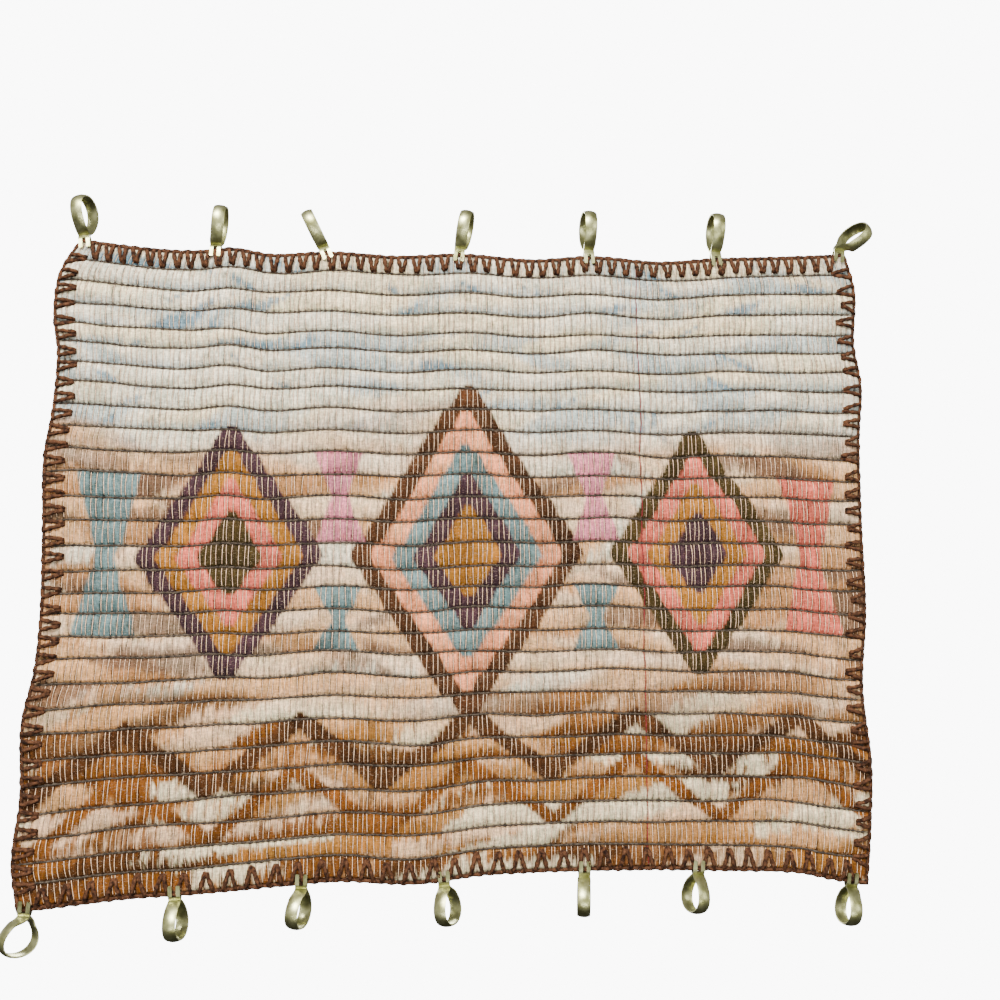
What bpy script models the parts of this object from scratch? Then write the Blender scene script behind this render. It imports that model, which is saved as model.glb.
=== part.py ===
"""A small woven wall hanging with clip rings along its top and bottom edges.

Units are metres and +Z is up. The cloth hangs in the XZ plane with its face towards -Y.
The origin is the middle of the line through the top rings, where a rod would pass.
Tables are in millimetres and degrees, as their column names say.
"""
import math

import bmesh
import bpy
from mathutils import Vector

MM = 0.001

# Cloth: a weft-faced weave of plump roving bands, tied down by fine warps
CLOTH_WIDTH = 590 * MM
CLOTH_HEIGHT = 449 * MM
CLOTH_TOP = -21.7 * MM
CREST_HALF = 3.7 * MM
GROOVE_HALF = 1.8 * MM
EDGE_BAND_HALF = 2.7 * MM
RIM_HALF = 1.6 * MM
SWAY = 1.6 * MM

# Band heights were taken on two upright lines, this far either side of the middle
BAND_LINE = 228 * MM
# Height of each band at the left line and at the right line, top band first
BANDS = [
    (12.5, 14.0), (16.0, 14.5), (16.0, 16.0), (15.0, 16.0), (13.0, 13.5),
    (15.5, 15.0), (14.0, 14.5), (16.0, 15.5), (16.0, 17.5), (16.0, 17.5),
    (16.5, 17.0), (17.0, 14.5), (16.5, 17.0), (18.5, 17.0), (17.0, 16.5),
    (15.0, 15.0), (14.5, 17.0), (16.0, 15.5), (14.5, 15.5), (16.5, 14.0),
    (15.5, 14.5), (16.0, 16.0), (17.0, 15.5), (16.0, 11.5), (17.0, 16.5),
    (16.0, 16.5), (15.0, 14.5), (13.5, 16.5), (15.0, 15.5),
]
# Where the mesh has a row within each band, and how full the band is there
BAND_PROFILE = [(0.0, 0.0), (0.2, 0.68), (0.5, 1.0), (0.8, 0.68)]
COLUMNS_INSIDE = 12
# Fullness of the bands close to the two sides: inset from the side, fullness
SIDE_PROFILE = [(0.0, 0.45), (7.0, 0.9)]

# Rims of the cloth. Sides: down from the top, out from the middle
LEFT_RIM = [
    (0, 281), (12, 289), (28, 295), (55, 296), (80, 292), (120, 293), (155, 297),
    (200, 295), (260, 293), (300, 295), (333, 301), (380, 299), (420, 302), (449, 297),
]
RIGHT_RIM = [
    (0, 292), (28, 298), (67, 295), (100, 299), (140, 295), (200, 293), (265, 292),
    (318, 286), (370, 289), (410, 286), (449, 281),
]
# Top and bottom: across from the middle, up from the straight rim
TOP_RIM = [
    (-295, 3), (-245, -2), (-212, -3), (-184, 0), (-155, -4), (-110, -1), (-60, -3),
    (-10, 0), (45, -3), (92, 1), (145, -2), (192, 2), (250, 5), (295, 8),
]
BOTTOM_RIM = [
    (-295, -12), (-265, -9), (-224, -5), (-180, -3), (-120, 1), (-80, 3), (-28, 0),
    (24, 5), (126, 6), (200, 4), (245, 2), (270, -3), (295, -7),
]

# Edging: the purl of the blanket stitch, which runs round on the rim
PURL_RADIUS = 1.7 * MM
CLEARANCE = 0.3 * MM
PURL_OFFSET = PURL_RADIUS + CLEARANCE
PURL_ROW_STEP = 2
PURL_COLUMN_CUTS = 2

# Clip rings: one bent strip each, drop shaped, with two prongs on each face of the cloth
STRIP_WIDTH = 8.6 * MM
NECK_WIDTH = 8.0 * MM
STRIP_THICKNESS = 0.9 * MM
# The lower rings are pressed further on, so that less of their loops stands free
LOOP_HEIGHT_ABOVE = 30.3 * MM
LOOP_HEIGHT_BELOW = 26.2 * MM
LOOP_RADIUS = 12.6 * MM
LOOP_STEPS = 18
# Largest value of sin(a) * sqrt(sin(a / 2)), which gives the loop its drop shape
DROP_PEAK = 0.862
# The two sides of a loop are pinched together at its neck, just clear of the purl
NECK_HALF_GAP = 0.85 * MM
# The prongs, from the neck inwards: in from the purl, out from the middle of the cloth
PRONG_PATH = [(-1.0, 2.55), (0.3, 2.7), (3.5, 3.3), (6.8, 4.0)]
PRONG_TIP_WIDTH = 0.8
# The strip turns from the lie of its prongs to that of its loop between these heights
TWIST_FROM = 3.0 * MM
TWIST_TO = 9.0 * MM

# Name, then mm: across from the middle, and neck out from the purl. Then degrees: lean of
# the loop to the right, turn of its near side to the left, and lean of the prongs
TOP_RINGS = [
    ("ring_top_1", -279.5, 3.8, -4, 14, -10),
    ("ring_top_2", -185.5, 3.0, 6, -3, 1),
    ("ring_top_3", -105.5, 3.9, -25.5, 6, -22),
    ("ring_top_4", -6, 4.2, 12, 7.5, 6),
    ("ring_top_5", 92.5, 5.2, 0, -3.5, 0),
    ("ring_top_6", 191, 5.4, 2.5, 0, 0),
    ("ring_top_7", 288.5, 3.5, 43, -27, 12),
]
BOTTOM_RINGS = [
    ("ring_bottom_1", -293.5, 2.9, -10, 44, -6),
    ("ring_bottom_2", -196.5, 2.9, 3.5, 10, 3),
    ("ring_bottom_3", -113, 2.9, -5, 18.5, -2),
    ("ring_bottom_4", -16.5, 3.5, 8, 29, 3),
    ("ring_bottom_5", 81, 4.2, -2, 8, 0),
    ("ring_bottom_6", 161.5, 2.9, -7.5, -15, -2),
    ("ring_bottom_7", 271, 2.9, -9, -4, -3),
]


def clear_scene():
    for thing in list(bpy.data.objects):
        bpy.data.objects.remove(thing, do_unlink=True)


def new_collection(name):
    collection = bpy.data.collections.new(name)
    bpy.context.scene.collection.children.link(collection)
    return collection


def new_material(name, colour, roughness, metallic):
    material = bpy.data.materials.new(name)
    material.use_nodes = True
    shader = material.node_tree.nodes["Principled BSDF"]
    shader.inputs["Base Color"].default_value = (*colour, 1.0)
    shader.inputs["Roughness"].default_value = roughness
    shader.inputs["Metallic"].default_value = metallic
    material.diffuse_color = (*colour, 1.0)
    return material


def add_object(name, data, collection, material):
    thing = bpy.data.objects.new(name, data)
    thing.data.materials.append(material)
    collection.objects.link(thing)
    return thing


def smooth_step(low, high, value):
    share = min(max((value - low) / (high - low), 0.0), 1.0)
    return share * share * (3.0 - 2.0 * share)


def smooth_table(table, at):
    """Value of a two-column table in mm at a place in metres, on a smooth curve."""
    place = at / MM
    last = len(table) - 1
    index = 0
    while index < last - 1 and place > table[index + 1][0]:
        index += 1
    before, here = table[max(index - 1, 0)], table[index]
    there, after = table[index + 1], table[min(index + 2, last)]
    span = there[0] - here[0]
    share = min(max((place - here[0]) / span, 0.0), 1.0)
    slope_in = (there[1] - before[1]) / (there[0] - before[0]) * span
    slope_out = (after[1] - here[1]) / (after[0] - here[0]) * span
    square, cube = share ** 2, share ** 3
    value = (2 * cube - 3 * square + 1) * here[1] + (cube - 2 * square + share) * slope_in
    value += (3 * square - 2 * cube) * there[1] + (cube - square) * slope_out
    return value * MM


def band_shares(side):
    """Share of the cloth's height above each groove, with 0 and 1 at the two rims."""
    total = sum(band[side] for band in BANDS)
    shares = [0.0]
    for band in BANDS:
        shares.append(shares[-1] + band[side] / total)
    return shares


LEFT_SHARES = band_shares(0)
RIGHT_SHARES = band_shares(1)


def top_of_cloth(across):
    return CLOTH_TOP + smooth_table(TOP_RIM, across)


def bottom_of_cloth(across):
    return CLOTH_TOP - CLOTH_HEIGHT + smooth_table(BOTTOM_RIM, across)


def rim_height(x, up):
    """Height of the cloth's top or bottom rim at a real distance from the middle."""
    depth = 0.0 if up > 0 else CLOTH_HEIGHT
    left, right = smooth_table(LEFT_RIM, depth), smooth_table(RIGHT_RIM, depth)
    across = ((x + left) / (left + right) - 0.5) * CLOTH_WIDTH
    return top_of_cloth(across) if up > 0 else bottom_of_cloth(across)


def sway(x, z):
    """How far the hanging cloth stands out of its plane."""
    wave = math.sin(2.4 * math.pi * x / CLOTH_WIDTH + 0.5)
    hang = math.sin(1.3 * math.pi * (z - CLOTH_TOP) / CLOTH_HEIGHT)
    return SWAY * wave * hang


def cloth_point(across, band, share):
    """Place on the middle surface: a straight distance across, and a share of a band."""
    lean = (across + BAND_LINE) / (2 * BAND_LINE)
    left = LEFT_SHARES[band] * (1 - share) + LEFT_SHARES[min(band + 1, len(BANDS))] * share
    right = RIGHT_SHARES[band] * (1 - share) + RIGHT_SHARES[min(band + 1, len(BANDS))] * share
    down = left * (1 - lean) + right * lean
    if band == 0 and share == 0.0:
        down = 0.0
    if band == len(BANDS):
        down = 1.0
    depth = down * CLOTH_HEIGHT
    from_left = across / CLOTH_WIDTH + 0.5
    x = -smooth_table(LEFT_RIM, depth) * (1 - from_left) + smooth_table(RIGHT_RIM, depth) * from_left
    z = top_of_cloth(across) * (1 - down) + bottom_of_cloth(across) * down
    return Vector((x, sway(x, z), z))


def half_thickness(inset, band, fullness):
    if band == len(BANDS) or (band == 0 and fullness == 0.0):
        return RIM_HALF
    crest = EDGE_BAND_HALF if band in (0, len(BANDS) - 1) else CREST_HALF
    near = [full for at, full in SIDE_PROFILE if inset <= at * MM]
    side = near[0] if near else 1.0
    return RIM_HALF + (GROOVE_HALF + (crest - GROOVE_HALF) * fullness - RIM_HALF) * side


def column_places():
    """Distances across of the mesh's columns, from the left rim to the right one."""
    inner = SIDE_PROFILE[-1][0] * MM
    half = CLOTH_WIDTH / 2
    places = [-half, -half + inner]
    step = (CLOTH_WIDTH - 2 * inner) / (COLUMNS_INSIDE + 1)
    places += [-half + inner + step * number for number in range(1, COLUMNS_INSIDE + 1)]
    return places + [half - inner, half]


def row_places():
    """Band number, share of the band and fullness for each row, from the top down."""
    rows = [(band, share, full) for band in range(len(BANDS)) for share, full in BAND_PROFILE]
    return rows + [(len(BANDS), 0.0, 0.0)]


def make_panel(collection, material):
    """The cloth: a grid of its rows and columns, raised to a front and a back."""
    columns, rows = column_places(), row_places()
    mesh = bpy.data.meshes.new("panel")
    shape = bmesh.new()
    bmesh.ops.create_grid(shape, x_segments=len(columns) - 1, y_segments=len(rows) - 1, size=0.5)
    places = {}
    for vertex in shape.verts:
        column = round((vertex.co.x + 0.5) * (len(columns) - 1))
        row = round((0.5 - vertex.co.y) * (len(rows) - 1))
        places[vertex.index] = (column, row)
    shape.verts.ensure_lookup_table()
    front = {vertex: places[vertex.index] for vertex in shape.verts}
    raised = bmesh.ops.extrude_face_region(shape, geom=shape.faces[:])
    back = [part for part in raised["geom"] if isinstance(part, bmesh.types.BMVert)]
    back_by_place = {(round(v.co.x, 6), round(v.co.y, 6)): v for v in back}
    for vertex, (column, row) in front.items():
        other = back_by_place[(round(vertex.co.x, 6), round(vertex.co.y, 6))]
        band, share, full = rows[row]
        middle = cloth_point(columns[column], band, share)
        inset = CLOTH_WIDTH / 2 - abs(columns[column])
        half = Vector((0, half_thickness(inset, band, full), 0))
        vertex.co = middle - half
        other.co = middle + half
    bmesh.ops.recalc_face_normals(shape, faces=shape.faces[:])
    shape.to_mesh(mesh)
    shape.free()
    return add_object("panel", mesh, collection, material)


def rim_points():
    """The cloth's rim as a closed run of points, clockwise as seen from the front."""
    columns, rows = column_places(), row_places()
    last_band = len(BANDS)
    across = []
    for start, end in zip(columns, columns[1:]):
        cuts = PURL_COLUMN_CUTS if end - start > 4 * PURL_COLUMN_CUTS * PURL_RADIUS else 1
        across += [(start, end, cut / cuts) for cut in range(cuts)]
    down = rows[PURL_ROW_STEP:-PURL_ROW_STEP:PURL_ROW_STEP]
    points = []
    for start, end, cut in across:
        points.append(cloth_point(start, 0, 0.0).lerp(cloth_point(end, 0, 0.0), cut))
    points.append(cloth_point(columns[-1], 0, 0.0))
    points += [cloth_point(columns[-1], band, share) for band, share, full in down]
    points.append(cloth_point(columns[-1], last_band, 0.0))
    for start, end, cut in reversed(across):
        points.append(cloth_point(start, last_band, 0.0).lerp(cloth_point(end, last_band, 0.0), cut))
    points += [cloth_point(columns[0], band, share) for band, share, full in reversed(down)]
    return points


def set_out(points, distance):
    """The same closed run, moved outwards in the plane of the cloth."""
    moved = []
    for index, point in enumerate(points):
        ahead = (points[(index + 1) % len(points)] - point).normalized()
        behind = (point - points[index - 1]).normalized()
        along = (ahead + behind).normalized()
        outwards = Vector((-along.z, 0, along.x))
        mitre = max(along.dot(ahead), 0.6)
        moved.append(point + outwards * distance / mitre)
    return moved


def make_edging(collection, material):
    """The stitch's purl: a closed round cord on the rim, just clear of the cloth."""
    curve = bpy.data.curves.new("edging", "CURVE")
    curve.dimensions = "3D"
    curve.bevel_depth = PURL_RADIUS
    curve.bevel_resolution = 2
    points = set_out(rim_points(), PURL_OFFSET)
    spline = curve.splines.new("POLY")
    spline.points.add(len(points) - 1)
    for target, point in zip(spline.points, points):
        target.co = (*point, 1.0)
    spline.use_cyclic_u = True
    return add_object("edging", curve, collection, material)


def loop_path(loop_height):
    """The loop of a ring: height above the neck, distance out and strip width."""
    path = []
    for step in range(LOOP_STEPS + 1):
        angle = 2 * math.pi * step / LOOP_STEPS
        height = loop_height / 2 * (1 - math.cos(angle))
        drop = abs(math.sin(angle)) * math.sqrt(abs(math.sin(angle / 2))) / DROP_PEAK
        out = LOOP_RADIUS * drop
        if height < loop_height / 4:
            out = max(out, NECK_HALF_GAP)
        width = NECK_WIDTH if step in (0, LOOP_STEPS) else STRIP_WIDTH
        path.append((height, out if step <= LOOP_STEPS / 2 else -out, width))
    return path


def ring_place(ring, up, height, out, aside):
    """World place of a point on a ring: its height over the purl, depth and place aside."""
    name, across, neck, loop_lean, turn, prong_lean = ring
    share = smooth_step(TWIST_FROM, TWIST_TO, height)
    angle = math.radians(turn) * share
    lean = math.radians(prong_lean + (loop_lean - prong_lean) * share)
    aside, out = (aside * math.cos(angle) - out * math.sin(angle),
                  out * math.cos(angle) + aside * math.sin(angle))
    x = across * MM
    purl = rim_height(x, up) + up * PURL_OFFSET
    stand = sway(x, purl)
    x += height * math.sin(lean) + aside * math.cos(lean)
    z = purl + up * (height * math.cos(lean) - aside * math.sin(lean))
    return Vector((x, stand - out, z))


def grow_prongs(shape, edge, ring, up, side):
    """Split the strip's end in three and draw the outer two out over the cloth."""
    split = bmesh.ops.subdivide_edges(shape, edges=[edge], cuts=2)
    parts = {piece for piece in split["geom_inner"] if isinstance(piece, bmesh.types.BMVert)}
    ends = {piece for vertex in parts for piece in vertex.link_edges if piece.is_boundary}
    outer = [piece for piece in ends if not set(piece.verts) <= parts]
    for piece in outer:
        inner_vertex = next(vertex for vertex in piece.verts if vertex in parts)
        hand = 1 if inner_vertex.co.x > piece.other_vert(inner_vertex).co.x else -1
        inside, outside = -hand * NECK_WIDTH / 6, -hand * NECK_WIDTH / 2
        for number, (inwards, out) in enumerate(PRONG_PATH):
            grown = bmesh.ops.extrude_edge_only(shape, edges=[piece])["geom"]
            vertices = [part for part in grown if isinstance(part, bmesh.types.BMVert)]
            piece = next(part for part in grown if isinstance(part, bmesh.types.BMEdge)
                         and set(part.verts) == set(vertices))
            vertices.sort(key=lambda vertex: hand * vertex.co.x)
            width = PRONG_TIP_WIDTH if number == len(PRONG_PATH) - 1 else 1.0
            for vertex, aside in zip(vertices, (outside, inside)):
                aside = (inside + outside) / 2 + (aside - (inside + outside) / 2) * width
                vertex.co = ring_place(ring, up, -inwards * MM, side * out * MM, aside)


def make_ring(ring, up, collection, material):
    """One clip ring: an open strip bent to its loop and prongs, given its thickness."""
    neck = ring[2]
    path = loop_path(LOOP_HEIGHT_ABOVE if up > 0 else LOOP_HEIGHT_BELOW)
    mesh = bpy.data.meshes.new(ring[0])
    shape = bmesh.new()
    bmesh.ops.create_grid(shape, x_segments=1, y_segments=len(path) - 1, size=0.5)
    ends = {0: [], len(path) - 1: []}
    for vertex in shape.verts:
        row = round((vertex.co.y + 0.5) * (len(path) - 1))
        height, out, width = path[row]
        hand = 1 if vertex.co.x > 0 else -1
        vertex.co = ring_place(ring, up, neck * MM + height, out, hand * width / 2)
        if row in ends:
            ends[row].append(vertex)
    end_edges = [shape.edges.get(pair) for pair in ends.values()]
    for edge, side in zip(end_edges, (1, -1)):
        grow_prongs(shape, edge, ring, up, side)
    shape.to_mesh(mesh)
    shape.free()
    clip = add_object(ring[0], mesh, collection, material)
    shell = clip.modifiers.new("strip", "SOLIDIFY")
    shell.thickness = STRIP_THICKNESS
    shell.offset = 0.0
    return clip


def main():
    clear_scene()
    collection = new_collection("woven_tapestry")
    wool = new_material("woven wool", (0.62, 0.47, 0.33), 0.95, 0.0)
    yarn = new_material("edging yarn", (0.12, 0.05, 0.025), 0.9, 0.0)
    brass = new_material("aged brass", (0.42, 0.38, 0.22), 0.35, 1.0)
    make_panel(collection, wool)
    make_edging(collection, yarn)
    for ring in TOP_RINGS:
        make_ring(ring, 1, collection, brass)
    for ring in BOTTOM_RINGS:
        make_ring(ring, -1, collection, brass)


main()
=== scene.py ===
"""A small woven wall hanging with clip rings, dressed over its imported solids.

Roving bands, warps, the wefts in the grooves, blanket stitching and clip rings are all
real meshes. Angles are degrees. Lengths are millimetres, but metres for the camera, the
lights and the noise in materials.
"""
import math

import bpy
import numpy as np
from mathutils import Matrix, Vector


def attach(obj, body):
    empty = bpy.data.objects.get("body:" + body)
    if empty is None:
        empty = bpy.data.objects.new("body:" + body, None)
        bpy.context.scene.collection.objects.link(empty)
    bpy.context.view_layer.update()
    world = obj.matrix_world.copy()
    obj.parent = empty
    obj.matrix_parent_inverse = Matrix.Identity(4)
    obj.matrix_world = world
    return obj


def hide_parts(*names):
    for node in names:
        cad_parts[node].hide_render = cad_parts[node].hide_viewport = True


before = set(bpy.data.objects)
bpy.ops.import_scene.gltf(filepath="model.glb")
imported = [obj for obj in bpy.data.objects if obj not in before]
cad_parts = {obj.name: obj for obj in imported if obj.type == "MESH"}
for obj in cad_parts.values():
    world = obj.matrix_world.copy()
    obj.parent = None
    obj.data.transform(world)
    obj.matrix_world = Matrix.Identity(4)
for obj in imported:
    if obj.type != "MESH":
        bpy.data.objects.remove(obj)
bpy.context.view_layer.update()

MM = 0.001

# Cloth, as in the solids
CLOTH_WIDTH = 590.0
CLOTH_HEIGHT = 449.0
CLOTH_TOP = -21.7
SWAY = 1.6
# Half thickness of the inner bands, of the outermost two and of the rim
CREST_HALF = 3.7
EDGE_BAND_HALF = 2.7
RIM_HALF = 1.6
# Height of each band at lines this far left and right of the middle, top band first
BAND_LINE = 228.0
BANDS = [
    (12.5, 14.0), (16.0, 14.5), (16.0, 16.0), (15.0, 16.0), (13.0, 13.5),
    (15.5, 15.0), (14.0, 14.5), (16.0, 15.5), (16.0, 17.5), (16.0, 17.5),
    (16.5, 17.0), (17.0, 14.5), (16.5, 17.0), (18.5, 17.0), (17.0, 16.5),
    (15.0, 15.0), (14.5, 17.0), (16.0, 15.5), (14.5, 15.5), (16.5, 14.0),
    (15.5, 14.5), (16.0, 16.0), (17.0, 15.5), (16.0, 11.5), (17.0, 16.5),
    (16.0, 16.5), (15.0, 14.5), (13.5, 16.5), (15.0, 15.5),
]
# Rims of the cloth. Sides: down from the top, out from the middle
LEFT_RIM = [
    (0, 281), (12, 289), (28, 295), (55, 296), (80, 292), (120, 293), (155, 297),
    (200, 295), (260, 293), (300, 295), (333, 301), (380, 299), (420, 302), (449, 297),
]
RIGHT_RIM = [
    (0, 292), (28, 298), (67, 295), (100, 299), (140, 295), (200, 293), (265, 292),
    (318, 286), (370, 289), (410, 286), (449, 281),
]
# Top and bottom: across from the middle, up from the straight rim
TOP_RIM = [
    (-295, 3), (-245, -2), (-212, -3), (-184, 0), (-155, -4), (-110, -1), (-60, -3),
    (-10, 0), (45, -3), (92, 1), (145, -2), (192, 2), (250, 5), (295, 8),
]
BOTTOM_RIM = [
    (-295, -12), (-265, -9), (-224, -5), (-180, -3), (-120, 1), (-80, 3), (-28, 0),
    (24, 5), (126, 6), (200, 4), (245, 2), (270, -3), (295, -7),
]

# Weave
WARPS = 150
RED_WARP = 108
WARP_RADIUS = 0.31
# How far a warp drifts aside and wavers on its way down, as shares of the warps' pitch
WARP_DRIFT = 0.34
WARP_WAVER = 0.22
# Rows of a warp in each band, from the groove on, where it crosses the wefts
FRONT_STOPS = (0.0, 0.10, 0.30, 0.56, 0.82)
BACK_STOPS = (0.0, 0.16, 0.50, 0.84)
# Mean distance of the left and the right rim from the middle, and the power of the
# curve along which the warps leave a rim and hang straight
BODY_LEFT = 295.0
BODY_RIGHT = 292.0
RIM_POWER = 6
# Roving: share of a band at each row of points, columns of points to a warp on each
# face, and each piece's first band and the first band after it
BAND_ROWS = (0.0, 0.07, 0.19, 0.36, 0.56, 0.76, 0.92)
FRONT_STEPS = 4
BACK_STEPS = 2
PIECES = (("upper", 0, 10), ("middle", 10, 20), ("lower", 20, 29))
# Grooves: half thickness of the roving there, how far they sag and how often
GROOVE_HALF = 0.55
GROOVE_SAG = 0.9
SAG_LENGTH = 34.0
# How far the roving is drawn in: sharply at a warp, within this share of the warps'
# pitch, and gently all the way from warp to warp
WARP_DRAW = 0.75
DRAW_WIDTH = 0.16
ROUND_DRAW = 0.30
# Twined wefts: radius, swing before and behind the warps, and place before the middle
PICK_RADIUS = 0.80
PICK_SWING = 1.3
PICK_FORWARD = 0.4
# The axis of a yarn stands off the roving by this share of its radius
SEAT = 0.55
# Depth of the ply in a twisted yarn, as a share of its radius
PLY_DEPTH = 0.20

# Edging. The solid's purl lies PURL_OFFSET out from the rim, and the yarn's closer in
PURL_OFFSET = 2.0
PURL_CLOSER = 0.9
PURL_STEP = 1.15
PURL_PLY = 7.5
# Radius of the purl, how much it swells at each loop, and how far apart the loops are
PURL_RADIUS = 1.50
PURL_SWELL = 0.30
LOOP_PITCH = 10.4
# Legs: radius, length of the ply, start outside the rim, gap between two tips, how far
# the tips dive into the roving, and what stays free of legs at a corner
YARN_RADIUS = 1.45
YARN_PLY = 6.0
LEG_START = -1.2
TIP_GAP = 0.8
TIP_DIVE = 1.3
CORNER = 7.0

# Clip rings, as in the solids
STRIP_WIDTH = 8.6
NECK_WIDTH = 8.0
STRIP_THICKNESS = 0.9
LOOP_HEIGHT_ABOVE = 30.3
LOOP_HEIGHT_BELOW = 26.2
LOOP_RADIUS = 12.6
LOOP_STEPS = 60
# Largest value of sin(a) * sqrt(sin(a / 2)), which gives the loop its drop shape
DROP_PEAK = 0.862
NECK_HALF_GAP = 0.85
# The prongs, from the neck inwards: in from the purl, out from the middle of the cloth
PRONG_PATH = [(-1.0, 2.55), (0.3, 2.7), (3.5, 3.3), (6.8, 4.0)]
PRONG_ROWS = 11
# In from the purl, the strip is split from SPLIT_FROM on and narrower from TIP_FROM on.
# The middle of a prong lies so far out, as a share of the strip's half width
SPLIT_FROM = -0.4
TIP_FROM = 6.3
TIP_WIDTH = 0.72
PRONG_MIDDLE = 2 / 3
# Places across the half width of the strip, how far its sides curl in, and the rounding
# of its edges
STRIP_COLUMNS = (-1.0, -0.8, -1 / 3, 0.0, 1 / 3, 0.8, 1.0)
DOME = 1.0
EDGE_ROUND = 0.22
# Between these heights over the purl, the strip takes on the loop's lean and turn
TWIST_FROM = 3.0
TWIST_TO = 9.0
# Name, across from the middle, neck out from the purl, lean of the loop, turn of its
# near side to the left, lean of the prongs
TOP_RINGS = [
    ("ring_top_1", -279.5, 3.8, -4, 14, -10),
    ("ring_top_2", -185.5, 3.0, 6, -3, 1),
    ("ring_top_3", -105.5, 3.9, -25.5, 6, -22),
    ("ring_top_4", -6, 4.2, 12, 7.5, 6),
    ("ring_top_5", 92.5, 5.2, 0, -3.5, 0),
    ("ring_top_6", 191, 5.4, 2.5, 0, 0),
    ("ring_top_7", 288.5, 3.5, 43, -27, 12),
]
BOTTOM_RINGS = [
    ("ring_bottom_1", -293.5, 2.9, -10, 44, -6),
    ("ring_bottom_2", -196.5, 2.9, 3.5, 10, 3),
    ("ring_bottom_3", -113, 2.9, -5, 18.5, -2),
    ("ring_bottom_4", -16.5, 3.5, 8, 29, 3),
    ("ring_bottom_5", 81, 4.2, -2, 8, 0),
    ("ring_bottom_6", 161.5, 2.9, -7.5, -15, -2),
    ("ring_bottom_7", 271, 2.9, -9, -4, -3),
]

# Camera: below and to the left of the cloth's middle, looking up at it
CAMERA_DISTANCE = 0.78
CAMERA_PITCH = 9.0
CAMERA_YAW = 5.0
CAMERA_ROLL = -0.35
CAMERA_AIM = Vector((0.0237, 0.0, -0.2065))
CAMERA_LENS = 38.6
# Strength of the white that the camera sees behind the object
WHITE_BEHIND = 12.0

# Dyes, as scene-linear red, green and blue
CREAM = np.array([0.82, 0.73, 0.55])
IVORY = np.array([0.86, 0.71, 0.45])
BLUE_GREY = np.array([0.34, 0.43, 0.45])
BLUE = np.array([0.08, 0.20, 0.29])
PEACH = np.array([0.86, 0.54, 0.31])
SAND = np.array([0.70, 0.35, 0.14])
TAN = np.array([0.38, 0.165, 0.058])
DUSK = np.array([0.11, 0.062, 0.042])
GOLD = np.array([0.33, 0.125, 0.017])
COPPER = np.array([0.155, 0.049, 0.008])
UMBER = np.array([0.058, 0.021, 0.006])
BROWN = np.array([0.060, 0.023, 0.009])
PLUM = np.array([0.045, 0.021, 0.027])
OLIVE = np.array([0.045, 0.029, 0.009])
CORAL = np.array([0.58, 0.115, 0.075])
APRICOT = np.array([0.78, 0.27, 0.125])
PINK = np.array([0.56, 0.17, 0.22])
TEAL = np.array([0.13, 0.20, 0.20])
# Tints that multiply the roving, and the stray fibres in it
COOL_TINT = (0.58, 0.66, 0.65)
WARM_TINT = (0.82, 0.62, 0.44)
FLECK = (0.10, 0.06, 0.04)
HAIR = (0.80, 0.62, 0.44)
# Yarns, each with its darker and its paler dye
COTTON = (0.50, 0.32, 0.20), (0.78, 0.54, 0.36)
WINE = (0.10, 0.010, 0.012), (0.18, 0.020, 0.024)
GROOVE_WEFT = (0.015, 0.012, 0.009), (0.058, 0.045, 0.033)
BROWN_YARN = (0.009, 0.004, 0.0025), (0.072, 0.030, 0.014)
# Aged brass, from bare to tarnished
BRASS = (0.40, 0.40, 0.205), (0.20, 0.20, 0.080)

# Values in a noise table: along a line, and along each side of a square
KNOTS = 4096
GRID = 256


# Curves and noise

def smooth_table(table, places):
    """Values of a two-column table at an array of places, on a smooth curve."""
    table = np.array(table, float)
    at, value = table[:, 0], table[:, 1]
    slope = np.empty(len(at))
    slope[1:-1] = (value[2:] - value[:-2]) / (at[2:] - at[:-2])
    slope[0] = (value[1] - value[0]) / (at[1] - at[0])
    slope[-1] = (value[-1] - value[-2]) / (at[-1] - at[-2])
    places = np.asarray(places, float)
    low = np.clip(np.searchsorted(at, places, side="right") - 1, 0, len(at) - 2)
    gap = at[low + 1] - at[low]
    share = np.clip((places - at[low]) / gap, 0.0, 1.0)
    square, cube = share ** 2, share ** 3
    start = (2 * cube - 3 * square + 1) * value[low]
    start = start + (cube - 2 * square + share) * gap * slope[low]
    end = (3 * square - 2 * cube) * value[low + 1]
    end = end + (cube - square) * gap * slope[low + 1]
    return start + end


def wander(places, spacing, seed):
    """Smooth noise from -1 to 1 along a line, a new value about every spacing."""
    knots = np.random.default_rng(seed).uniform(-1.0, 1.0, KNOTS)
    at = np.asarray(places, float) / spacing + 1000.37
    low = np.floor(at).astype(int)
    share = at - low
    share = share * share * (3 - 2 * share)
    return knots[low % KNOTS] * (1 - share) + knots[(low + 1) % KNOTS] * share


def wander2(across, down, wide, tall, seed):
    """Smooth noise from -1 to 1 over the cloth, stretched to wide by tall."""
    table = np.random.default_rng(seed).uniform(-1.0, 1.0, (GRID, GRID))
    a = np.asarray(across, float) / wide + 500.21
    b = np.asarray(down, float) / tall + 500.43
    la, lb = np.floor(a).astype(int), np.floor(b).astype(int)
    fa, fb = a - la, b - lb
    fa, fb = fa * fa * (3 - 2 * fa), fb * fb * (3 - 2 * fb)
    la, na, lb, nb = la % GRID, (la + 1) % GRID, lb % GRID, (lb + 1) % GRID
    low = table[la, lb] * (1 - fa) + table[na, lb] * fa
    high = table[la, nb] * (1 - fa) + table[na, nb] * fa
    return low * (1 - fb) + high * fb


def smooth_step(low, high, value):
    """0 up to low, 1 from high on, and a smooth rise between them."""
    share = np.clip((value - low) / (high - low), 0.0, 1.0)
    return share * share * (3.0 - 2.0 * share)


# The cloth's shape

def band_shares(side):
    heights = np.array([band[side] for band in BANDS])
    return np.concatenate(([0.0], np.cumsum(heights))) / heights.sum()


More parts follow.
